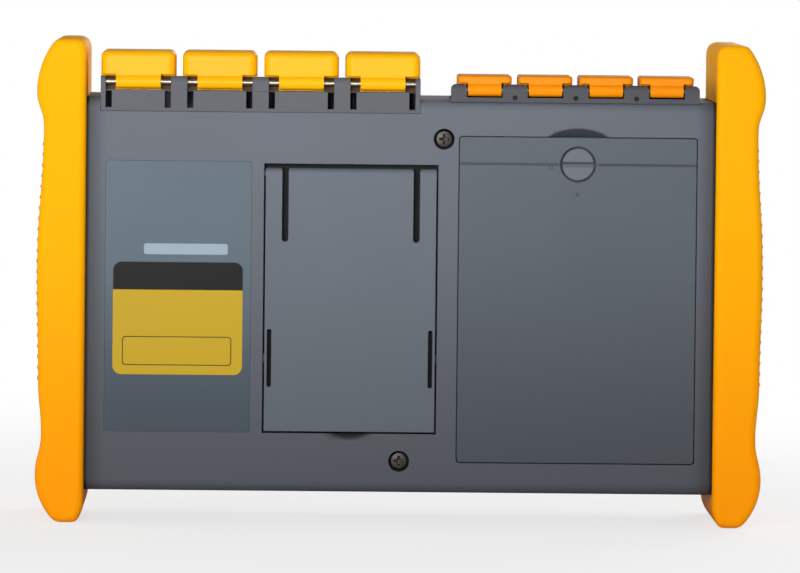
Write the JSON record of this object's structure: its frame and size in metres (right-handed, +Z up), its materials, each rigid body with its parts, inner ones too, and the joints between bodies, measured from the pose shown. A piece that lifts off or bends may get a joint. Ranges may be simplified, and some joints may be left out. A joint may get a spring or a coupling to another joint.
{
  "type": "optical time domain reflectometer",
  "caption": "Tablet-style optical time domain reflectometer with rubber bumpers, capped ports, a fold-out stand, a battery door, a display and keys.",
  "frame": {"origin": "middle of the base, on the surface that the two bumpers stand on", "axes": "+Z up, +X towards the optical ports' end of the top edge, +Y out of the back with the stand and the battery door; the display faces -Y"},
  "size_m": [0.253, 0.0736, 0.168],
  "materials": {
    "case_grey": "fine moulded texture, blue-grey",
    "port_grey": "fine moulded texture, grey",
    "bumper_rubber": "satin yellow-orange rubber",
    "cap_yellow": "satin yellow moulding",
    "cap_orange": "satin orange moulding",
    "pin_steel": "ground steel pin",
    "screw_black": "black oxide screw",
    "adapter_metal": "nickel-plated brass",
    "sleeve_ceramic": "zirconia",
    "insert_brass": "turned brass",
    "label_plate": "printed polycarbonate",
    "display_cover": "dark cover glass",
    "screen_black": "black panel",
    "seal_rubber": "black silicone",
    "key_grey": "satin keycap",
    "light_clear": "clear light pipe",
    "board_green": "solder mask",
    "can_metal": "screening can",
    "battery_shell": "wrapped cell pack",
    "socket_metal": "plated socket shell",
    "socket_plastic": "black socket moulding"
  },
  "bodies": {
    "case": {"rear_shell": "case_grey", "front_shell": "case_grey", "case_seal": "seal_rubber", "bumper_left": "bumper_rubber", "bumper_right": "bumper_rubber", "lock_insert": "insert_brass", "battery_pack": "battery_shell", "battery_contacts": "socket_plastic", "port_block": "port_grey", "jack_block": "port_grey", "port_cap_pins": "pin_steel", "jack_cap_pins": "pin_steel", "adapter_sleeves": "sleeve_ceramic", "flange_screws": "screw_black", "usb_socket_1": "socket_metal", "usb_socket_2": "socket_metal", "network_socket": "socket_plastic", "power_inlet": "socket_plastic", "main_board": "board_green", "processor_shield": "can_metal", "socket_board": "board_green", "board_screws": "screw_black", "measuring_unit": "can_metal", "key_board": "board_green", "status_lights": "light_clear", "display_glass": "display_cover", "display_gasket": "seal_rubber", "screen_module": "screen_black", "case_screws": "screw_black", "corner_screws": "screw_black", "rear_label": "label_plate", "optical_adapter_1": "adapter_metal", "optical_adapter_2": "adapter_metal", "optical_adapter_3": "adapter_metal", "optical_adapter_4": "adapter_metal"},
    "kickstand": {"kickstand": "case_grey"},
    "battery_door": {"battery_door": "case_grey"},
    "door_lock_screw": {"door_lock_screw": "case_grey"},
    "port_cap_1": {"port_cap_1": "cap_yellow"},
    "jack_cap_1": {"jack_cap_1": "cap_orange"},
    "port_cap_2": {"port_cap_2": "cap_yellow"},
    "jack_cap_2": {"jack_cap_2": "cap_orange"},
    "port_cap_3": {"port_cap_3": "cap_yellow"},
    "jack_cap_3": {"jack_cap_3": "cap_orange"},
    "port_cap_4": {"port_cap_4": "cap_yellow"},
    "jack_cap_4": {"jack_cap_4": "cap_orange"},
    "key_up": {"key_up": "key_grey"},
    "key_down": {"key_down": "key_grey"},
    "key_left": {"key_left": "key_grey"},
    "key_right": {"key_right": "key_grey"},
    "key_ok": {"key_ok": "key_grey"},
    "key_test": {"key_test": "key_grey"},
    "key_power": {"key_power": "key_grey"},
    "key_save": {"key_save": "key_grey"},
    "key_back": {"key_back": "key_grey"}
  },
  "joints": [
    {"name": "port_cap_1_hinge", "type": "hinge", "parent": "case", "child": "port_cap_1", "pos_m": [0.09145, 0.0313, 0.1533], "axis": [-1, 0, 0], "range_deg": [0, 100]},
    {"name": "port_cap_2_hinge", "type": "hinge", "parent": "case", "child": "port_cap_2", "pos_m": [0.06315, 0.0313, 0.1533], "axis": [-1, 0, 0], "range_deg": [0, 100]},
    {"name": "port_cap_3_hinge", "type": "hinge", "parent": "case", "child": "port_cap_3", "pos_m": [0.03485, 0.0313, 0.1533], "axis": [-1, 0, 0], "range_deg": [0, 100]},
    {"name": "port_cap_4_hinge", "type": "hinge", "parent": "case", "child": "port_cap_4", "pos_m": [0.00655, 0.0313, 0.1533], "axis": [-1, 0, 0], "range_deg": [0, 100]},
    {"name": "jack_cap_1_hinge", "type": "hinge", "parent": "case", "child": "jack_cap_1", "pos_m": [-0.0288, 0.0314, 0.1516], "axis": [-1, 0, 0], "range_deg": [0, 100]},
    {"name": "jack_cap_2_hinge", "type": "hinge", "parent": "case", "child": "jack_cap_2", "pos_m": [-0.0499, 0.0314, 0.1516], "axis": [-1, 0, 0], "range_deg": [0, 100]},
    {"name": "jack_cap_3_hinge", "type": "hinge", "parent": "case", "child": "jack_cap_3", "pos_m": [-0.071, 0.0314, 0.1516], "axis": [-1, 0, 0], "range_deg": [0, 100]},
    {"name": "jack_cap_4_hinge", "type": "hinge", "parent": "case", "child": "jack_cap_4", "pos_m": [-0.0921, 0.0314, 0.1516], "axis": [-1, 0, 0], "range_deg": [0, 100]},
    {"name": "kickstand_hinge", "type": "hinge", "parent": "case", "child": "kickstand", "pos_m": [0.01725, 0.0315, 0.1219], "axis": [1, 0, 0], "range_deg": [0, 60]},
    {"name": "battery_door_hinge", "type": "hinge", "parent": "case", "child": "battery_door", "pos_m": [-0.0615, 0.0338, 0.0221], "axis": [-1, 0, 0], "range_deg": [0, 40]},
    {"name": "door_lock_turn", "type": "hinge", "parent": "battery_door", "child": "door_lock_screw", "pos_m": [-0.0615, 0.033, 0.12605], "axis": [0, 1, 0], "range_deg": [0, 90]},
    {"name": "key_up_press", "type": "slide", "parent": "case", "child": "key_up", "axis": [0, 1, 0], "range_m": [0, 0.0008], "stiffness_N_per_m": 500, "springref_m": -0.001},
    {"name": "key_down_press", "type": "slide", "parent": "case", "child": "key_down", "axis": [0, 1, 0], "range_m": [0, 0.0008], "stiffness_N_per_m": 500, "springref_m": -0.001},
    {"name": "key_left_press", "type": "slide", "parent": "case", "child": "key_left", "axis": [0, 1, 0], "range_m": [0, 0.0008], "stiffness_N_per_m": 500, "springref_m": -0.001},
    {"name": "key_right_press", "type": "slide", "parent": "case", "child": "key_right", "axis": [0, 1, 0], "range_m": [0, 0.0008], "stiffness_N_per_m": 500, "springref_m": -0.001},
    {"name": "key_ok_press", "type": "slide", "parent": "case", "child": "key_ok", "axis": [0, 1, 0], "range_m": [0, 0.0008], "stiffness_N_per_m": 500, "springref_m": -0.001},
    {"name": "key_test_press", "type": "slide", "parent": "case", "child": "key_test", "axis": [0, 1, 0], "range_m": [0, 0.0008], "stiffness_N_per_m": 500, "springref_m": -0.001},
    {"name": "key_power_press", "type": "slide", "parent": "case", "child": "key_power", "axis": [0, 1, 0], "range_m": [0, 0.0008], "stiffness_N_per_m": 500, "springref_m": -0.001},
    {"name": "key_save_press", "type": "slide", "parent": "case", "child": "key_save", "axis": [0, 1, 0], "range_m": [0, 0.0008], "stiffness_N_per_m": 500, "springref_m": -0.001},
    {"name": "key_back_press", "type": "slide", "parent": "case", "child": "key_back", "axis": [0, 1, 0], "range_m": [0, 0.0008], "stiffness_N_per_m": 500, "springref_m": -0.001}
  ]
}
